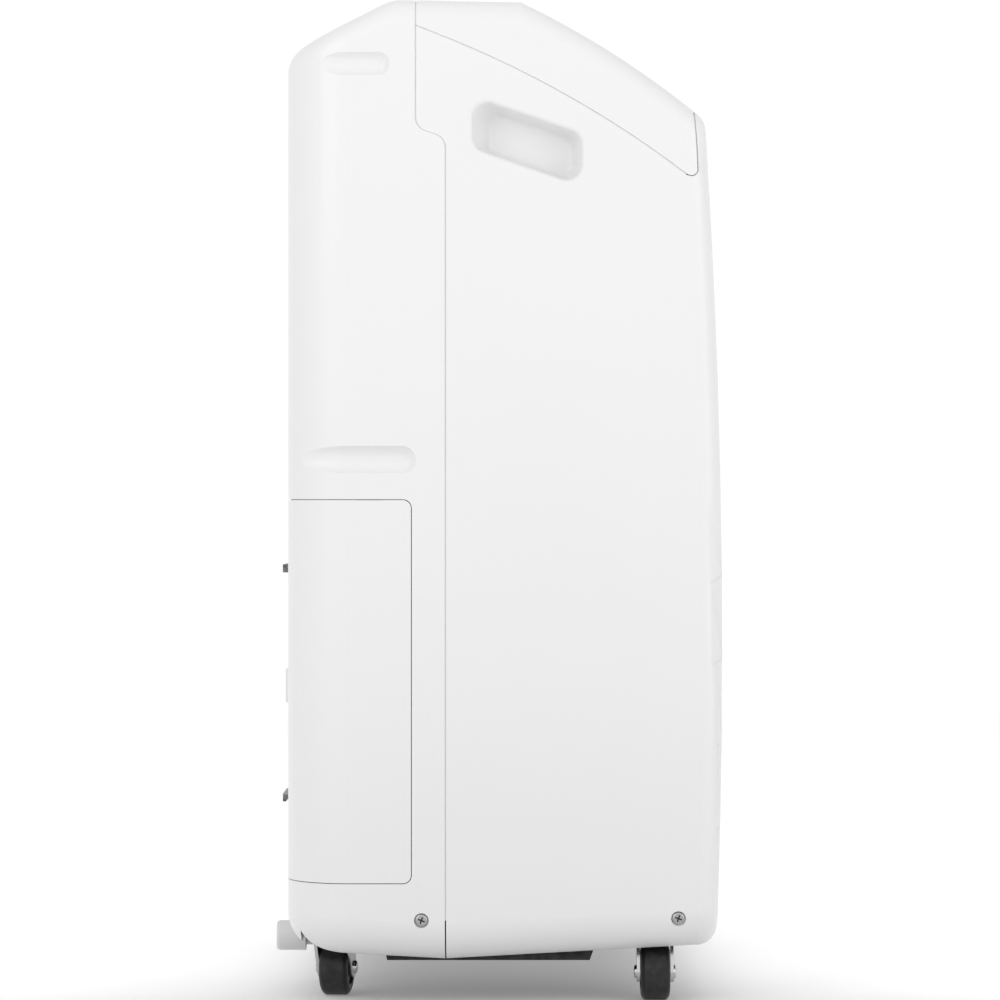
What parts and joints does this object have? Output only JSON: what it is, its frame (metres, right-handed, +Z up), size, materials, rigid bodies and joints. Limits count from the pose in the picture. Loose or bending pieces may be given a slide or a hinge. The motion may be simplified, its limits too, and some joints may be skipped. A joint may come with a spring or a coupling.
{
  "type": "portable dehumidifier",
  "caption": "Tall white portable dehumidifier on swivel casters, with side handle pockets, sloped control top, rear intake grille and a slide-out wrap-round water tank.",
  "frame": {"origin": "on the floor under the middle of the bounding box", "axes": "+Z up; -Y is the front with the control slope; +Y is the rear with the intake grille and the tank; X across the width"},
  "size_m": [0.38, 0.2818, 0.6234],
  "materials": {
    "case_white": "satin moulded white ABS",
    "grille_white": "fine-textured white plastic",
    "panel_dark": "gloss dark grey panel",
    "lens_smoke": "smoked clear lens",
    "button_grey": "soft-touch light grey",
    "light_lens": "translucent indicator lens",
    "board_green": "solder-masked circuit board",
    "screw_chrome": "bright plated steel",
    "base_black": "black moulded base",
    "port_grey": "light grey plastic",
    "hook_grey": "dark grey plastic",
    "gland_black": "black rubber",
    "tank_clear": "translucent milky plastic",
    "window_clear": "clear smoke plastic",
    "float_foam": "closed-cell foam",
    "tray_white": "white inner moulding",
    "filter_black": "black filter frame",
    "mesh_black": "fine woven nylon mesh",
    "fin_aluminium": "thin aluminium fins",
    "tube_copper": "bare copper tube",
    "scroll_grey": "moulded fan housing",
    "fan_grey": "moulded fan wheel",
    "motor_steel": "zinc-plated steel",
    "can_black": "black enamelled steel can",
    "grommet_rubber": "black rubber",
    "box_grey": "galvanised steel box",
    "capacitor_alu": "drawn aluminium can",
    "wheel_black": "black nylon wheel",
    "fork_chrome": "bright zinc-plated steel"
  },
  "bodies": {
    "chassis": {"base_pan": "base_black", "case_screws": "screw_chrome", "compressor": "can_black", "compressor_bolts": "motor_steel", "compressor_grommets": "grommet_rubber", "condenser_fins": "fin_aluminium", "condenser_tubes": "tube_copper", "control_board": "board_green", "control_fascia": "panel_dark", "cord_gland": "gland_black", "discharge_pipe": "tube_copper", "display_lens": "lens_smoke", "drain_port": "port_grey", "drip_tray": "tray_white", "electrical_box": "box_grey", "evaporator_fins": "fin_aluminium", "evaporator_tubes": "tube_copper", "fan_motor": "motor_steel", "fan_scroll": "scroll_grey", "front_shell": "case_white", "indicator_lights": "light_lens", "liquid_line": "tube_copper", "outlet_grille": "grille_white", "rear_shell": "case_white", "run_capacitor": "capacitor_alu", "suction_accumulator": "can_black", "suction_pipe": "tube_copper", "tank_bay": "tray_white", "tank_sensor": "gland_black", "top_cover": "case_white"},
    "tank": {"tank_bin": "tank_clear", "tank_lid": "tray_white", "tank_cover": "case_white", "level_window": "window_clear", "cord_hooks": "hook_grey"},
    "float": {"tank_float": "float_foam"},
    "intake_cassette": {"intake_grille": "grille_white", "filter_frame": "filter_black", "filter_mesh": "mesh_black"},
    "fan": {"fan_wheel": "fan_grey", "fan_shaft": "motor_steel"},
    "drain_cap": {"drain_cap": "port_grey"},
    "power_button": {"power_button": "button_grey"},
    "mode_button": {"mode_button": "button_grey"},
    "fan_speed_button": {"fan_speed_button": "button_grey"},
    "timer_button": {"timer_button": "button_grey"},
    "humidity_down_button": {"humidity_down_button": "button_grey"},
    "humidity_up_button": {"humidity_up_button": "button_grey"},
    "caster_front_left": {"caster_fork_front_left": "fork_chrome", "caster_axle_front_left": "fork_chrome"},
    "wheel_front_left": {"caster_wheel_front_left": "wheel_black"},
    "caster_front_right": {"caster_fork_front_right": "fork_chrome", "caster_axle_front_right": "fork_chrome"},
    "wheel_front_right": {"caster_wheel_front_right": "wheel_black"},
    "caster_rear_left": {"caster_fork_rear_left": "fork_chrome", "caster_axle_rear_left": "fork_chrome"},
    "wheel_rear_left": {"caster_wheel_rear_left": "wheel_black"},
    "caster_rear_right": {"caster_fork_rear_right": "fork_chrome", "caster_axle_rear_right": "fork_chrome"},
    "wheel_rear_right": {"caster_wheel_rear_right": "wheel_black"}
  },
  "joints": [
    {"name": "tank_slide", "type": "slide", "parent": "chassis", "child": "tank", "axis": [0, 1, 0], "range_m": [0, 0.16]},
    {"name": "float_swing", "type": "hinge", "parent": "tank", "child": "float", "pos_m": [0.11, 0.03, 0.284], "axis": [1, 0, 0], "range_deg": [0, 12]},
    {"name": "intake_slide", "type": "slide", "parent": "chassis", "child": "intake_cassette", "axis": [0, 1, 0], "range_m": [0, 0.06]},
    {"name": "fan_spin", "type": "hinge", "parent": "chassis", "child": "fan", "pos_m": [0, 0, 0.455], "axis": [0, 1, 0], "continuous": true},
    {"name": "drain_cap_slide", "type": "slide", "parent": "chassis", "child": "drain_cap", "axis": [0, 1, 0], "range_m": [0, 0.025]},
    {"name": "power_press", "type": "slide", "parent": "chassis", "child": "power_button", "axis": [0, 0.5724, -0.82], "range_m": [0, 0.0008], "stiffness_N_per_m": 300, "springref_m": -0.001},
    {"name": "mode_press", "type": "slide", "parent": "chassis", "child": "mode_button", "axis": [0, 0.5724, -0.82], "range_m": [0, 0.0008], "stiffness_N_per_m": 300, "springref_m": -0.001},
    {"name": "fan_speed_press", "type": "slide", "parent": "chassis", "child": "fan_speed_button", "axis": [0, 0.5724, -0.82], "range_m": [0, 0.0008], "stiffness_N_per_m": 300, "springref_m": -0.001},
    {"name": "timer_press", "type": "slide", "parent": "chassis", "child": "timer_button", "axis": [0, 0.5724, -0.82], "range_m": [0, 0.0008], "stiffness_N_per_m": 300, "springref_m": -0.001},
    {"name": "humidity_down_press", "type": "slide", "parent": "chassis", "child": "humidity_down_button", "axis": [0, 0.5724, -0.82], "range_m": [0, 0.0008], "stiffness_N_per_m": 300, "springref_m": -0.001},
    {"name": "humidity_up_press", "type": "slide", "parent": "chassis", "child": "humidity_up_button", "axis": [0, 0.5724, -0.82], "range_m": [0, 0.0008], "stiffness_N_per_m": 300, "springref_m": -0.001},
    {"name": "swivel_front_left", "type": "hinge", "parent": "chassis", "child": "caster_front_left", "pos_m": [-0.145, -0.1, 0.045], "axis": [0, 0, 1], "continuous": true},
    {"name": "roll_front_left", "type": "hinge", "parent": "caster_front_left", "child": "wheel_front_left", "pos_m": [-0.1575, -0.1, 0.0175], "axis": [0, -1, 0], "continuous": true},
    {"name": "swivel_front_right", "type": "hinge", "parent": "chassis", "child": "caster_front_right", "pos_m": [0.145, -0.1, 0.045], "axis": [0, 0, 1], "continuous": true},
    {"name": "roll_front_right", "type": "hinge", "parent": "caster_front_right", "child": "wheel_front_right", "pos_m": [0.1575, -0.1, 0.0175], "axis": [0, 1, 0], "continuous": true},
    {"name": "swivel_rear_left", "type": "hinge", "parent": "chassis", "child": "caster_rear_left", "pos_m": [-0.145, 0.102, 0.045], "axis": [0, 0, 1], "continuous": true},
    {"name": "roll_rear_left", "type": "hinge", "parent": "caster_rear_left", "child": "wheel_rear_left", "pos_m": [-0.13262, 0.10026, 0.0175], "axis": [0.1392, 0.9903, 0], "continuous": true},
    {"name": "swivel_rear_right", "type": "hinge", "parent": "chassis", "child": "caster_rear_right", "pos_m": [0.145, 0.102, 0.045], "axis": [0, 0, 1], "continuous": true},
    {"name": "roll_rear_right", "type": "hinge", "parent": "caster_rear_right", "child": "wheel_rear_right", "pos_m": [0.15738, 0.10374, 0.0175], "axis": [-0.1392, 0.9903, 0], "continuous": true}
  ]
}
